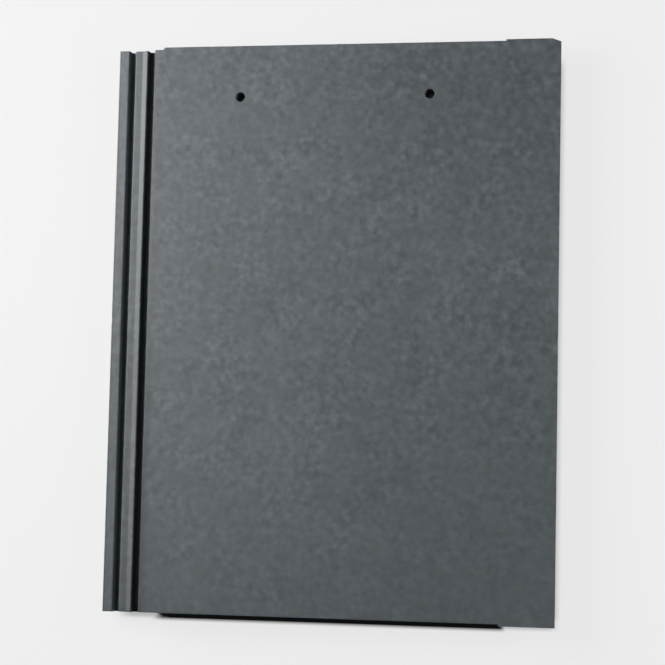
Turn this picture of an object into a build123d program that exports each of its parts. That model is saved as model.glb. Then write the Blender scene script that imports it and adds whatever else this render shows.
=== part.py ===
from build123d import *
import os

# Flat interlocking roof tile, extruded and cut in concrete, one solid.
# It lies face up: X runs across the tile, from the underlock on the left to
# the overlock on the right, Y runs up the roof slope to the head, and Z = 0 is
# the plane that the nose and the two hanging nibs rest on.

# Overall size
tile_width = 330.0
tile_length = 420.0
tile_height = 27.0
body_thickness = 16.0

# Underlock, the two ribs and two water channels along the left edge
crest_drop = 9.5
outer_rib_width = 7.6
outer_channel_width = 4.2
inner_rib_width = 10.2
inner_channel_width = 5.7
channel_depth = 6.5
channel_flank = 0.5
underlock_sole_height = 3.5
crest_flat = 5.6
crest_rise = 1.7
shoulder_lean = 2.4
underlock_flank = 5.0

# Overlock, the lipped plate along the right edge that covers the next underlock
overlock_thickness = 8.6
overlock_width = 39.5
overlock_flank = 3.0
side_joint = 1.0
lock_side_clearance = 0.5
lock_foot_clearance = 1.5
edge_undercut = 2.4

# Nose, the downturned and raked front edge between the two locks
nose_rake = 3.3
arris_set_back = 1.4
underlock_set_back = 0.7
nose_sole = 15.0
nose_back_slope = 9.0
nose_left_inset = 44.8
nose_end_slope = 1.5

# Hanging nibs under the head
nib_width = 40.0
nib_length = 16.0
nib_spacing = 160.0
nib_draft = 2.5
nib_edge_distance = 10.0

# Weather bars across the underside, and stiffening ribs along it
weather_bar_count = 2
weather_bar_pitch = 26.0
weather_bar_width = 11.0
weather_bar_depth = 4.0
weather_bar_distance = 60.0
stiffener_count = 4
stiffener_width = 16.0
stiffener_depth = 3.0
relief_angle = 55.0

# Nail holes and head cuts
nail_hole_diameter = 6.6
nail_hole_spacing = 140.0
nail_hole_edge_distance = 38.5
nail_hole_shift = 1.0
head_set_back = 1.1
head_slant = 0.9
head_notch_width = 7.4
head_notch_flank = 1.2
head_notch_depth = 1.8
mitre_across = 6.5
mitre_down = 2.5

# Small roundings that the moulding and the cutting leave
crest_fillet = 1.0
lip_fillet = 0.6
shoulder_fillet = 2.0
face_fillet = 0.8
sole_fillet = 2.0
nib_fillet = 2.0
rim_fillet = 0.5

# Levels and places worked out from the sizes above
left = -tile_width / 2
right = tile_width / 2
tail = -tile_length / 2
head = tile_length / 2
face_level = tile_height
crest_level = face_level - crest_drop
channel_level = crest_level - channel_depth
belly_level = face_level - body_thickness
cut_line = tail + nose_rake

outer_channel_start = left + outer_rib_width
inner_rib_start = outer_channel_start + outer_channel_width
inner_channel_start = inner_rib_start + inner_rib_width
shoulder_foot = inner_channel_start + inner_channel_width
shoulder = shoulder_foot + shoulder_lean
inner_crest_level = crest_level - crest_rise
cover_width = right - shoulder + side_joint

overlock_start = right - overlock_width
plate_level = face_level - overlock_thickness
lip_level = channel_level + lock_foot_clearance
lip_draft = channel_flank * (plate_level - lip_level) / channel_depth

# The lips of the overlock stand in the channels of a tile one cover width away
outer_lip_start = outer_channel_start + cover_width + lock_side_clearance
outer_lip_end = inner_rib_start + cover_width - lock_side_clearance
edge_lip_start = inner_channel_start + cover_width + lock_side_clearance
edge_lip_foot = right - edge_undercut
outer_lip_foot_width = outer_lip_end - outer_lip_start - 2 * lip_draft
lip_rounding = min(lip_fillet, outer_lip_foot_width / 3)

nose_left = left + nose_left_inset
body_left = shoulder + underlock_flank
body_middle = (body_left + overlock_start) / 2
nib_hanging_face = head - nib_edge_distance - nib_length
nail_line = head - nail_hole_edge_distance
weather_bar_middle = tail + weather_bar_distance
stiffener_pitch = (overlock_start - body_left) / stiffener_count
stiffener_start = weather_bar_middle + (weather_bar_count - 1) * weather_bar_pitch / 2
stiffener_end = nib_hanging_face
body_cut_line = cut_line + arris_set_back
underlock_cut_line = cut_line + underlock_set_back
body_head_line = head - head_set_back
notch_head_line = body_head_line + head_slant
notch_line = notch_head_line - head_notch_depth
notch_end = shoulder + head_notch_width


# Nose, seen from the side and then from the front, with its drafted ends
with BuildPart() as nose:
    with BuildSketch(Plane.YZ.offset(nose_left)):
        with BuildLine():
            Polyline(
                (tail, 0),
                (tail + nose_sole, 0),
                (tail + nose_sole + nose_back_slope, belly_level),
                (tail + nose_sole + nose_back_slope, face_level - face_fillet),
                (tail, face_level - face_fillet),
                close=True,
            )
        make_face()
    extrude(amount=overlock_start - nose_left)
    with BuildSketch(Plane.XZ.offset(-tail)):
        with BuildLine():
            Polyline(
                (nose_left, face_level),
                (nose_left, belly_level),
                (nose_left + nose_end_slope, 0),
                (overlock_start - nose_end_slope, 0),
                (overlock_start, belly_level),
                (overlock_start, face_level),
                close=True,
            )
        make_face()
    extrude(amount=-(nose_sole + nose_back_slope), mode=Mode.INTERSECT)
    fillet(nose.edges().filter_by(Axis.X).group_by(Axis.Z)[0].sort_by(Axis.Y)[-1], sole_fillet)

# Hanging nib, with an upright face towards the batten and the rest drafted
with BuildPart() as nib:
    with BuildSketch(Plane.YZ):
        with BuildLine():
            Polyline(
                (nib_hanging_face, face_level - body_thickness / 2),
                (nib_hanging_face, 0),
                (nib_hanging_face + nib_length - nib_draft, 0),
                (nib_hanging_face + nib_length, belly_level),
                (nib_hanging_face + nib_length, face_level - body_thickness / 2),
                close=True,
            )
        make_face()
    extrude(amount=nib_width / 2, both=True)
    with BuildSketch(Plane.XZ.offset(-nib_hanging_face)):
        with BuildLine():
            Polyline(
                (-nib_width / 2, face_level),
                (-nib_width / 2, belly_level),
                (nib_draft - nib_width / 2, 0),
                (nib_width / 2 - nib_draft, 0),
                (nib_width / 2, belly_level),
                (nib_width / 2, face_level),
                close=True,
            )
        make_face()
    extrude(amount=-nib_length, mode=Mode.INTERSECT)
    fillet(nib.edges().group_by(Axis.Z)[0].sort_by(Axis.Y)[1:], nib_fillet)

with BuildPart() as roof_tile:
    # Cross-section of the whole width, seen along the tile from the tail
    with BuildSketch(Plane.XZ.offset(-cut_line)) as section:
        with BuildLine():
            Polyline(
                (left, underlock_sole_height),
                (left, crest_level),
                (outer_channel_start, crest_level),
                (outer_channel_start + channel_flank, channel_level),
                (inner_rib_start - channel_flank, channel_level),
                (inner_rib_start, inner_crest_level),
                (inner_rib_start + crest_flat, inner_crest_level),
                (inner_channel_start, crest_level),
                (inner_channel_start + channel_flank, channel_level),
                (shoulder_foot - channel_flank, channel_level),
                (shoulder_foot, crest_level),
                (shoulder, face_level),
                (right, face_level),
                (edge_lip_foot, lip_level),
                (edge_lip_start + lip_draft, lip_level),
                (edge_lip_start, plate_level),
                (outer_lip_end, plate_level),
                (outer_lip_end - lip_draft, lip_level),
                (outer_lip_start + lip_draft, lip_level),
                (outer_lip_start, plate_level),
                (overlock_start + overlock_flank, plate_level),
                (overlock_start, belly_level),
                (body_left, belly_level),
                (shoulder, underlock_sole_height),
                close=True,
            )
        make_face()
        corners = section.vertices()
        crests = corners.filter_by_position(Axis.Y, inner_crest_level, crest_level)
        crests = crests.filter_by_position(Axis.X, left, inner_channel_start)
        lip_feet = corners.filter_by_position(Axis.Y, lip_level, lip_level)
        shoulder_edge, face_edge = corners.filter_by_position(Axis.Y, face_level, face_level).sort_by(Axis.X)
        fillet(crests, crest_fillet)
        fillet(lip_feet, lip_rounding)
        fillet(shoulder_edge, shoulder_fillet)
        fillet(face_edge, face_fillet)
    extrude(amount=-(head - cut_line))

    # Stiffening ribs along the belly, from the weather bars to the nibs
    with BuildSketch(Plane.XZ.offset(-stiffener_start)):
        with Locations((body_middle, belly_level - stiffener_depth / 2)):
            with GridLocations(stiffener_pitch, 0, stiffener_count, 1):
                Trapezoid(stiffener_width, stiffener_depth, relief_angle, rotation=180)
    extrude(amount=-(stiffener_end - stiffener_start))

    # Weather bars across the belly, just behind the nose
    with BuildSketch(Plane.YZ.offset(nose_left)):
        with Locations((weather_bar_middle, belly_level - weather_bar_depth / 2)):
            with GridLocations(weather_bar_pitch, 0, weather_bar_count, 1):
                Trapezoid(weather_bar_width, weather_bar_depth, relief_angle, rotation=180)
    extrude(amount=overlock_start - nose_left)

    add(nose.part)
    for side in (-1, 1):
        with Locations((body_middle + side * nib_spacing / 2, 0)):
            add(nib.part)

    # Raked cut of the front edge
    with BuildSketch(Plane.YZ.offset(nose_left)):
        with BuildLine():
            Polyline(
                (tail - 1, 0),
                (tail, 0),
                (body_cut_line, face_level),
                (tail - 1, face_level),
                close=True,
            )
        make_face()
    extrude(amount=overlock_start - nose_left, mode=Mode.SUBTRACT)

    # Front edge beside the nose, where the underlock stands a little further out than the body
    with BuildSketch():
        with BuildLine():
            Polyline(
                (left, tail),
                (left, underlock_cut_line),
                (shoulder_foot, underlock_cut_line),
                (shoulder_foot, body_cut_line),
                (nose_left, body_cut_line),
                (nose_left, tail),
                close=True,
            )
        make_face()
    extrude(amount=face_level, mode=Mode.SUBTRACT)

    # Head edge, shorter than the locks and slightly slanted, notched at the shoulder and
    # mitred at the overlock
    with BuildSketch():
        with BuildLine():
            Polyline(
                (shoulder_foot, head),
                (shoulder_foot, notch_line),
                (notch_end - head_notch_flank, notch_line),
                (notch_end, notch_head_line),
                (overlock_start, body_head_line),
                (overlock_start, head),
                close=True,
            )
        make_face()
        with BuildLine():
            Polyline(
                (right, head),
                (right, head - mitre_down),
                (right - mitre_across, head),
                close=True,
            )
        make_face()
    extrude(amount=face_level, mode=Mode.SUBTRACT)

    # Nail holes
    with Locations((nail_hole_shift, nail_line, face_level)):
        with GridLocations(nail_hole_spacing, 0, 2, 1):
            Hole(radius=nail_hole_diameter / 2)
    rims = roof_tile.edges().filter_by(GeomType.CIRCLE).group_by(Axis.Z)[-1]
    fillet(rims, rim_fillet)

roof_tile.part.label = "roof_tile"
os.makedirs("parts", exist_ok=True)
export_step(roof_tile.part, "parts/roof_tile.step")
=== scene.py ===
import math
import random

import bmesh
import bpy
from mathutils import Matrix, Vector, noise


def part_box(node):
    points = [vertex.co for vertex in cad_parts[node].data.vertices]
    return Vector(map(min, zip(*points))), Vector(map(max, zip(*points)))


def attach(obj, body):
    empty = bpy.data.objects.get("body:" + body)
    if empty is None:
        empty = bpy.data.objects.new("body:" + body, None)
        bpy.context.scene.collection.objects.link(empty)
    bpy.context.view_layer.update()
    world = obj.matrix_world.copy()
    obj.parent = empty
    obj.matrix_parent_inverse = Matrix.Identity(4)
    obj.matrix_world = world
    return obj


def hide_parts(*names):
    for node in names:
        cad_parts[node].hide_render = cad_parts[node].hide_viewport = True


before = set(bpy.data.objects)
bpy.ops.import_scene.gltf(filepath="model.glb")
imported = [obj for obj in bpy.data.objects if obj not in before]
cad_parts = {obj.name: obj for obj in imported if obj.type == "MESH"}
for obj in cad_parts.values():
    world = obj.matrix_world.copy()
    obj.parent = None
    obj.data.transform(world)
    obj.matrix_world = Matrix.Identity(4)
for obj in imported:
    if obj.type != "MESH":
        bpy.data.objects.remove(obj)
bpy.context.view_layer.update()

# The view. A long lens high above the tile, to the right of its middle and a
# little towards its front edge, turned so that the tile stands upright in the
# square picture.
focal_pixels = 1900.0
picture_pixels = 665.0
film_width = 36.0
view_place = Vector((0.2590, -0.1216, 1.3620))
view_turns = (-5.046, -10.829, -1.272)

view = bpy.data.cameras.new("tile_view")
view.sensor_fit = "HORIZONTAL"
view.sensor_width = film_width
view.lens = film_width * focal_pixels / picture_pixels
view.clip_start = 0.05
view.clip_end = 20.0
about_x, about_y, about_z = (math.radians(turn) for turn in view_turns)
seen_from = (
    Matrix.Rotation(about_z, 3, "Z")
    @ Matrix.Rotation(about_x, 3, "X")
    @ Matrix.Rotation(about_y, 3, "Y")
)
view_stand = bpy.data.objects.new("tile_view", view)
view_stand.matrix_world = Matrix.Translation(view_place) @ seen_from.transposed().to_4x4()
bpy.context.scene.collection.objects.link(view_stand)
bpy.context.scene.camera = view_stand

# The tile: one slab of through-coloured concrete, pressed out on a pallet under
# a roller and a slipper that leave a close, smooth face, and cut to length by a
# blade. Its arrises are a little worn and uneven, and its face is never dead flat.
tile_low, tile_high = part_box("roof_tile")
weld_gap = 1e-6
flat_turn = math.radians(0.8)
sharp_turn = math.radians(32)
shaded_turn = math.radians(50)
arris_width = 0.00045
face_pitch = 0.0026
edge_pitch = 0.004

cast = bmesh.new()
worn = cast.verts.layers.float.new("worn")
cast.from_mesh(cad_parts["roof_tile"].data)
bmesh.ops.remove_doubles(cast, verts=cast.verts, dist=weld_gap)
bmesh.ops.dissolve_limit(cast, angle_limit=flat_turn, verts=cast.verts, edges=cast.edges)
arrises = [
    edge for edge in cast.edges
    if edge.is_manifold and edge.is_convex and edge.calc_face_angle() > sharp_turn
]
rounded = bmesh.ops.bevel(
    cast, geom=arrises, offset=arris_width, offset_type="OFFSET", segments=2,
    profile=0.5, affect="EDGES", clamp_overlap=True,
)
for corner in rounded["verts"]:
    corner[worn] = 1.0


def cut_across(body, axis, pitch):
    """Cuts the skin of a body by planes square to an axis, evenly over the tile."""
    low, high = tile_low[axis], tile_high[axis]
    count = int((high - low) / pitch)
    square = Vector((0, 0, 0))
    square[axis] = 1
    ahead = list(body.faces)
    for step in range(count):
        place = low + (high - low) * (step + 0.5) / count
        parts = set(ahead)
        for face in ahead:
            parts.update(face.edges)
            parts.update(face.verts)
        cut = bmesh.ops.bisect_plane(
            body, geom=list(parts), dist=weld_gap, plane_co=square * place, plane_no=square
        )
        ahead = [
            part for part in cut["geom"]
            if isinstance(part, bmesh.types.BMFace)
            and max(corner.co[axis] for corner in part.verts) > place + weld_gap
        ]


width_axis, length_axis, height_axis = 0, 1, 2
cut_across(cast, width_axis, face_pitch)
cut_across(cast, height_axis, edge_pitch)
cut_across(cast, length_axis, face_pitch)
bmesh.ops.dissolve_degenerate(cast, dist=weld_gap, edges=cast.edges)
cast.normal_update()

# Its skin lies a little under the moulded shape: a slow wave from the roller,
# the swells and close pimples of struck concrete, and arrises that crumble by a
# grain or two and carry a few knocks. Nothing stands proud of the moulded shape.
wave_length, wave_depth = 0.060, 0.00010
swell_length, swell_depth = 0.0135, 0.00011
pimple_length, pimple_depth = 0.0068, 0.00011
crumble_length, crumble_depth = 0.0045, 0.00012
arris_share = 0.25
knock_count = 22
knock_reach = (0.0018, 0.0036)
knock_loss = (0.00015, 0.0004)
hand = random.Random(7)


def unevenness(spot, length, seed):
    """Smooth noise from 0 to 1, with lumps about that long."""
    return 0.5 + 0.5 * noise.noise(spot / length + Vector((seed, 2.3 * seed, 0.7 * seed)))


arris_corners = [corner for corner in cast.verts if corner[worn] > 0.5]
knocks = [
    (corner.co.copy(), hand.uniform(*knock_reach), hand.uniform(*knock_loss))
    for corner in hand.sample(arris_corners, knock_count)
]
sunk = {}
for corner in cast.verts:
    spot = corner.co
    depth = wave_depth * unevenness(spot, wave_length, 3)
    depth += swell_depth * unevenness(spot, swell_length, 5)
    depth += pimple_depth * unevenness(spot, pimple_length, 9)
    if corner[worn] > 0.5:
        depth *= arris_share
        depth += crumble_depth * unevenness(spot, crumble_length, 13) ** 2
        for middle, reach, loss in knocks:
            away = (spot - middle).length / reach
            if away < 1:
                depth += loss * (1 - away * away)
    sunk[corner] = spot - corner.normal * depth
for corner, spot in sunk.items():
    corner.co = spot

# The faces that the blade cut square take the torn finish, and so do the upright
# faces of the notch in the head.
square_turn = 0.9
upright_turn = 0.5
cut_reach = 0.008
notch_reach = 0.0021
for face in cast.faces:
    face.smooth = True
    middle = face.calc_center_median()
    cut_square = abs(face.normal.y) > square_turn and abs(middle.y) > tile_high.y - cut_reach
    cut_aside = abs(face.normal.z) < upright_turn and middle.y > tile_high.y - notch_reach
    if cut_square or cut_aside:
        face.material_index = 1
tile_mesh = bpy.data.meshes.new("tile_slab")
cast.to_mesh(tile_mesh)
cast.free()
tile_mesh.set_sharp_from_angle(angle=shaded_turn)
tile = bpy.data.objects.new("tile_slab", tile_mesh)
bpy.context.scene.collection.objects.link(tile)
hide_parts("roof_tile")
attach(tile, "root")


class Wire:
    """A value on its way through a material. Sums and products of wires add Math nodes."""

    def __init__(self, tree, socket=None):
        self.tree = tree
        self.socket = socket

    def node(self, kind, settings=(), sockets=(), out=0):
        """Adds a node: its settings first, then the values or wires of its sockets."""
        made = self.tree.nodes.new(kind)
        for name, value in dict(settings).items():
            setattr(made, name, value)
        for name, value in dict(sockets).items():
            if isinstance(value, Wire):
                self.tree.links.new(value.socket, made.inputs[name])
            else:
                made.inputs[name].default_value = value
        return Wire(self.tree, made.outputs[out] if made.outputs else None)

    def maths(self, operation, first, second):
        """Adds a Math node."""
        return self.node("ShaderNodeMath", {"operation": operation}, {0: first, 1: second})

    def __add__(self, other):
        return self.maths("ADD", self, other)

    __radd__ = __add__

    def __sub__(self, other):
        return self.maths("SUBTRACT", self, other)

    def __rsub__(self, other):
        return self.maths("SUBTRACT", other, self)

    def __mul__(self, other):
        return self.maths("MULTIPLY", self, other)

    __rmul__ = __mul__

    def higher(self, other):
        """The higher of two values."""
        return self.maths("MAXIMUM", self, other)

    def part(self, axis):
        """One of the three parts of a place or a direction."""
        return self.node("ShaderNodeSeparateXYZ", {}, {0: self}, out=axis)

    def rise(self, low, high):
        """0 below the low value, 1 above the high one, and smooth between."""
        return self.node(
            "ShaderNodeMapRange", {"interpolation_type": "SMOOTHSTEP", "clamp": True},
            {"Value": self, "From Min": low, "From Max": high},
        )

    def between(self, start, end):
        """1 between two soft edges and 0 beyond them."""
        return self.rise(*start) * (1 - self.rise(*end))

    def swing(self, share):
        """Noise from 0 to 1, turned to swing about 0 by a share."""
        return (self - 0.5) * share

    def near(self, spot, core, reach):
        """1 within a core around a spot, and 0 beyond a reach from it."""
        away = self.node(
            "ShaderNodeVectorMath", {"operation": "DISTANCE"}, {0: self, 1: spot}, out="Value"
        )
        return 1 - away.rise(core, reach)

    def grain(self, size, detail=2.0, roughness=0.5, seed=0.0, stretch=(1, 1, 1)):
        """Noise whose lumps are about that many metres across, from 0 to 1."""
        spot = self.node(
            "ShaderNodeVectorMath", {"operation": "MULTIPLY"},
            {0: self, 1: tuple(1 / (size * side) for side in stretch)},
        )
        return self.node(
            "ShaderNodeTexNoise", {"noise_dimensions": "4D", "normalize": True},
            {"Vector": spot, "W": seed, "Scale": 1.0, "Detail": detail, "Roughness": roughness},
        )

    def pits(self, size, width, seed):
        """Round pits about that far apart: 1 in a pit and 0 outside."""
        spot = self.node(
            "ShaderNodeVectorMath", {"operation": "MULTIPLY_ADD"},
            {0: self, 1: (1 / size, 1 / size, 1 / size), 2: (seed, 0.4 * seed, 0.7 * seed)},
        )
        away = self.node(
            "ShaderNodeTexVoronoi", {"feature": "F1", "distance": "EUCLIDEAN"},
            {"Vector": spot, "Scale": 1.0, "Randomness": 1.0}, out="Distance",
        )
        return 1 - away.rise(width * 0.4, width)

    def blend(self, share, first, second):
        """A colour between two others, by a share from 0 to 1."""
        return self.node(
            "ShaderNodeMix", {"data_type": "RGBA"}, {0: share, 6: first, 7: second}, out=2
        )


def bare_material(name):
    """A new material without nodes, and the wire that starts them."""
    material = bpy.data.materials.new(name)
    material.use_nodes = True
    material.node_tree.nodes.clear()
    return material, Wire(material.node_tree)


# The face of the concrete: slate-grey cement paste over fine sand, close and
# half matt, with soft clouds, a pimpled skin and a few tiny pinholes. Its mottle
# is strongest towards the head and weakest towards the front right; in the colour,
# this change is painted sheen.
dark_paste = (0.0685, 0.0796, 0.0880, 1)
pale_paste = (0.1356, 0.1550, 0.1676, 1)
pinhole_painted_shade = (0.030, 0.034, 0.037, 1)
paste_contrast = 1.4
lock_side = (0.0297, 0.0313)
face_concrete, mix = bare_material("slate_grey_concrete")
place = mix.node("ShaderNodeTexCoord", out="Object")
facing = mix.node("ShaderNodeTexCoord", out="Normal")
from_left = place.part(width_axis) - tile_low.x
from_tail = place.part(length_axis) - tile_low.y
above = place.part(height_axis)

sand = place.grain(size=0.0011, detail=2, seed=2)
fleck = place.grain(size=0.0030, detail=1, roughness=0.4, seed=9)
pimple = place.grain(size=0.0048, detail=0, seed=1)
swell = place.grain(size=0.0085, detail=0, seed=4)
patch = place.grain(size=0.018, detail=0, seed=7)
ease = place.grain(size=0.028, detail=1, seed=15)
cloud = place.grain(size=0.055, detail=2, seed=3)
drag = place.grain(size=0.0022, detail=2, seed=6, stretch=(1, 30, 1))
pinhole = place.pits(size=0.011, width=0.045, seed=8)

on_lock = 1 - from_left.rise(*lock_side)
front_right = (1 - from_tail.rise(0.06, 0.21)) * from_left.rise(0.165, 0.255)
# The strength of the mottle, in colour and relief; in the colour its rise towards the head is
# painted sheen.
mottle_and_sheen = 0.68 + from_tail.rise(0.02, 0.18) * 0.32 + from_tail.rise(0.29, 0.41) * 0.12
mottle_and_sheen = mottle_and_sheen * (1 - front_right * 0.25) * (0.7 + ease.rise(0.35, 0.65) * 0.6)
shade = fleck.swing(0.60) + pimple.swing(0.92) + swell.swing(0.14) + patch.swing(0.11)
shade = mottle_and_sheen * shade + cloud.swing(0.20) + sand.swing(0.2) + drag.swing(0.45) * on_lock
pale_drift = place.near((-0.050, -0.110, tile_high.z), core=0.01, reach=0.13)
dark_drift = place.near((0.085, 0.170, tile_high.z), core=0.01, reach=0.12)
shade = shade + 0.5 + pale_drift * 0.10 - dark_drift * 0.15
shade = mix.maths("POWER", shade.higher(0), paste_contrast)
colour = mix.blend(shade, dark_paste, pale_paste)

# The tops of the two ribs and the left-facing slope of the inner one are painted
# paler, most of all towards the head: a painted highlight where they face the
# lamps. The floor of the outer channel is painted paler too: painted light there.
painted_light_paste = (0.1900, 0.2090, 0.2200, 1)
channel_floor = (0.0095, 0.0105)
rib_top = (0.0140, 0.0165)
inner_rib_side = (0.0115, 0.0125)
upward = facing.part(height_axis).rise(0.3, 0.7)
leaning = (0 - facing.part(width_axis)).rise(0.20, 0.32)
towards_head = from_tail.rise(0.19, 0.41)
crown = above.rise(*rib_top)
sunken = above.rise(*channel_floor) * (1 - crown)
painted_highlight = 0.09 + towards_head * 0.19 + leaning * towards_head * 0.5
outer_channel = on_lock * sunken * (1 - from_left.rise(*inner_rib_side))
# Painted highlight on the rib tops and on the left-facing slope of the inner rib.
colour = mix.blend(on_lock * upward * crown * painted_highlight, colour, painted_light_paste)
# Painted light in the outer channel.
colour = mix.blend(outer_channel * 0.45, colour, painted_light_paste)

# Painted shade: the outermost arris, the inner channel and the band of the face
# beside it, which widens towards the front edge, are painted dark where shade falls.
painted_shade = (0.020, 0.023, 0.025, 1)
arris_side = (0.0007, 0.0023)
inner_channel_sides = ((0.0215, 0.0225), (0.0315, 0.0325))
near_band_side = (0.0297, 0.0328)
wide_band_side = (0.0320, 0.0372)
wide_band_end = (0.15, 0.29)
outer_arris = upward * (1 - from_left.rise(*arris_side))
inner_channel = sunken * from_left.between(*inner_channel_sides)
near_band = 1 - from_left.rise(*near_band_side)
wide_band = (1 - from_left.rise(*wide_band_side)) * (1 - from_tail.rise(*wide_band_end))
band = (1 - on_lock) * (near_band * 0.6 + wide_band * 0.3)
# Painted shade on the outermost arris.
colour = mix.blend(outer_arris * 0.42, colour, painted_shade)
# Painted shade on the band beside the inner channel.
colour = mix.blend(band, colour, painted_shade)
# Painted shade down the inner channel.
colour = mix.blend(inner_channel * 0.75, colour, painted_shade)
# Painted shade in the pinholes.
colour = mix.blend(pinhole * 0.6, colour, pinhole_painted_shade)

relief_depth = 0.001
relief = fleck.swing(0.07) + pimple.swing(0.19) + swell.swing(0.11) + patch.swing(0.07)
relief = mottle_and_sheen * relief + sand.swing(0.035) - pinhole * 0.3 + drag.swing(0.06) * on_lock
bump = mix.node(
    "ShaderNodeBump", {}, {"Strength": 1.0, "Distance": relief_depth, "Height": relief}
)
face_roughness = 0.50 + pimple.swing(0.10) + cloud.swing(0.08)
surface = mix.node(
    "ShaderNodeBsdfPrincipled", {},
    {"Base Color": colour, "Roughness": face_roughness, "Normal": bump, "IOR": 1.5},
)
mix.node("ShaderNodeOutputMaterial", {}, {"Surface": surface})
tile_mesh.materials.append(face_concrete)

# The cut ends: the blade tears the wet mix a little, so the front edge, the
# head and the ends of the locks are open, coarse and dull, with sand showing.
dark_tear = (0.050, 0.057, 0.062, 1)
pale_tear = (0.116, 0.131, 0.142, 1)
tear_pit_painted_shade = (0.020, 0.022, 0.024, 1)
end_concrete, torn = bare_material("torn_concrete_ends")
end_place = torn.node("ShaderNodeTexCoord", out="Object")
end_sand = end_place.grain(size=0.0009, detail=2, seed=12)
end_stone = end_place.grain(size=0.0026, detail=2, roughness=0.6, seed=13)
end_pit = end_place.pits(size=0.0042, width=0.30, seed=5)

end_shade = end_stone.swing(1.4) + end_sand.swing(0.8) + 0.5
end_colour = torn.blend(end_shade, dark_tear, pale_tear)
# Painted shade in the pits of the torn ends.
end_colour = torn.blend(end_pit * 0.5, end_colour, tear_pit_painted_shade)
end_relief = end_stone.swing(0.45) + end_sand.swing(0.15) - end_pit * 0.35
end_bump = torn.node(
    "ShaderNodeBump", {}, {"Strength": 1.0, "Distance": relief_depth, "Height": end_relief}
)
end_roughness = 0.9 + end_stone.swing(0.15)
end_surface = torn.node(
    "ShaderNodeBsdfPrincipled", {},
    {
        "Base Color": end_colour, "Roughness": end_roughness,
        "Normal": end_bump, "Specular IOR Level": 0.0,
    },
)
torn.node("ShaderNodeOutputMaterial", {}, {"Surface": end_surface})
tile_mesh.materials.append(end_concrete)

# The floor: a plain matt studio sheet, larger than any view of the tile. It looks
# evenly pale to the camera and in gloss and keeps the tile's soft shadow; its glow
# also carries a painted shadow in the closed gap under the tile and close along
# the front edge.
half_floor = 4.0
floor_gap = 0.0001
floor_mesh = bpy.data.meshes.new("floor_sheet")
floor_mesh.from_pydata(
    [(-half_floor, -half_floor, 0), (half_floor, -half_floor, 0),
     (half_floor, half_floor, 0), (-half_floor, half_floor, 0)],
    [], [(0, 1, 2, 3)],
)
floor = bpy.data.objects.new("floor_sheet", floor_mesh)
floor.location.z = -floor_gap
bpy.context.scene.collection.objects.link(floor)

dark_fibre = (0.106, 0.106, 0.107, 1)
pale_fibre = (0.116, 0.116, 0.117, 1)
lit_sheet = (1, 1, 1, 1)
unlit_sheet = (0.01, 0.01, 0.01, 1)
sheet_glow = 0.765
pale_paper, sheet = bare_material("pale_paper")
sheet_place = sheet.node("ShaderNodeTexCoord", out="Object")
fibre = sheet_place.grain(size=0.35, detail=2, seed=20)
paper_colour = sheet.blend(fibre, dark_fibre, pale_fibre)

tile_left = sheet_place.part(width_axis) - tile_low.x
tile_tail = sheet_place.part(length_axis) - tile_low.y
behind_front = (0.020, 0.030)
body_width = tile_left.between((0.005, 0.019), (0.321, 0.333))
nose_width = tile_left.between((0.0298, 0.0425), (0.289, 0.295))
# Painted shadow: the floor's glow is darkened under the tile, along the nose and in front of
# the tail.
under_tile = body_width * tile_tail.between((0.0015, 0.0110), (0.403, 0.413))
under_nose = nose_width * tile_tail.between((-0.003, 0.001), behind_front)
before_tail = body_width * tile_tail.between((-0.0018, 0.0020), behind_front) * 0.4
painted_shadow = under_tile.higher(under_nose).higher(before_tail)
glow_colour = sheet.blend(painted_shadow, lit_sheet, unlit_sheet)

matt_skin = {"Base Color": paper_colour, "Roughness": 1.0, "Specular IOR Level": 0.0}
glow_skin = {"Emission Color": glow_colour, "Emission Strength": sheet_glow}
matt = sheet.node("ShaderNodeBsdfPrincipled", {}, matt_skin)
matt_and_glow = sheet.node("ShaderNodeBsdfPrincipled", {}, {**matt_skin, **glow_skin})
camera_ray = sheet.node("ShaderNodeLightPath", out="Is Camera Ray")
glossy_ray = sheet.node("ShaderNodeLightPath", out="Is Glossy Ray")
clear_ray = sheet.node("ShaderNodeLightPath", out="Is Transmission Ray")
seen = sheet.node(
    "ShaderNodeMath", {"operation": "ADD", "use_clamp": True},
    {0: camera_ray + glossy_ray, 1: clear_ray},
)
shown = sheet.node("ShaderNodeMixShader", {}, {0: seen, 1: matt, 2: matt_and_glow})
sheet.node("ShaderNodeOutputMaterial", {}, {"Surface": shown})
floor_mesh.materials.append(pale_paper)

# The light: five soft boxes on the left, from near and low to far and high, and
# one low on the right. All of them stand towards the head of the tile, so that
# its raked front edge stays dark. The room itself gives very little.
room_light = 0.03
surround = bpy.data.worlds.new("surround")
bpy.context.scene.world = surround
surround.use_nodes = True
surround_glow = surround.node_tree.nodes["Background"].inputs
surround_glow["Color"].default_value = (1, 1, 1, 1)
surround_glow["Strength"].default_value = room_light


def soft_box(name, place, side, power):
    """A square lamp with sides of that many metres, turned to the middle of the tile."""
    lamp = bpy.data.lights.new(name, "AREA")
    lamp.shape = "RECTANGLE"
    lamp.size = side
    lamp.size_y = side
    lamp.energy = power
    stand = bpy.data.objects.new(name, lamp)
    stand.location = place
    stand.rotation_euler = (-Vector(place)).to_track_quat("-Z", "Y").to_euler()
    bpy.context.scene.collection.objects.link(stand)


soft_box("right_box", (0.95, 0.04, 0.55), 0.45, 4.8)
soft_box("head_left_box", (-0.8, 0.5, 0.7), 0.6, 6.0)
soft_box("far_left_box", (-1.2, 0.15, 0.6), 0.8, 6.3)
soft_box("high_left_box", (-0.7, 0.25, 1.0), 0.6, 2.4)
soft_box("near_left_box", (-0.45, 0.3, 0.6), 0.3, 0.60)
soft_box("low_left_box", (-0.5, 0.08, 0.5), 0.3, 0.78)

bpy.context.scene.view_settings.view_transform = "Standard"
